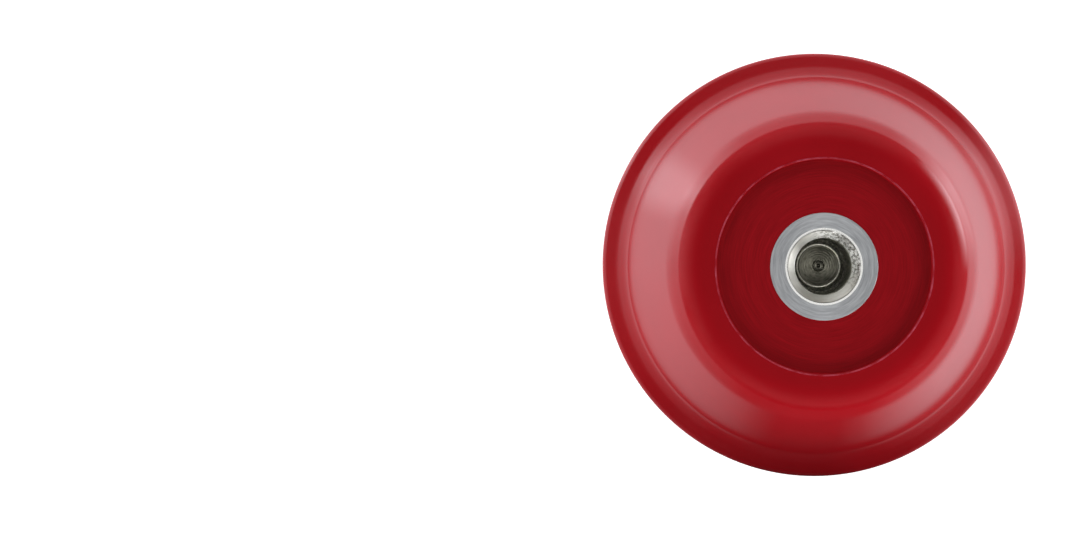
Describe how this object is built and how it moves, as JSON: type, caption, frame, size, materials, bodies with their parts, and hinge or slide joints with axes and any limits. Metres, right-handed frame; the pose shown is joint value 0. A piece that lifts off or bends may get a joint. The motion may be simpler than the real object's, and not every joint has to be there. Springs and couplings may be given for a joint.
{
  "type": "double-cone diabolo bobbin",
  "caption": "Solid red double-cone bobbin with a band round its middle, cast on a turned hub with a blind socket in each end and a set screw in its web.",
  "frame": {"origin": "centre of the lower end ring, on the axis, where the bobbin stands", "axes": "+Z along the bobbin's axis, upwards to the end that shows the set screw's flat point; the object is round, so +X and +Y are free"},
  "size_m": [0.066, 0.066, 0.06],
  "materials": {
    "cast_urethane": "glossy deep red casting, duller where it is faced",
    "turned_hub": "bright turned finish with fine rings",
    "blackened_screw": "olive-black oxide, turned end"
  },
  "bodies": {
    "bobbin": {"urethane_body": "cast_urethane", "hub_sleeve": "turned_hub"},
    "screw": {"set_screw": "blackened_screw"}
  },
  "joints": [
    {"name": "set_screw_travel", "type": "slide", "parent": "bobbin", "child": "screw", "axis": [0, 0, 1], "range_m": [-0.015, 0.0125]}
  ]
}
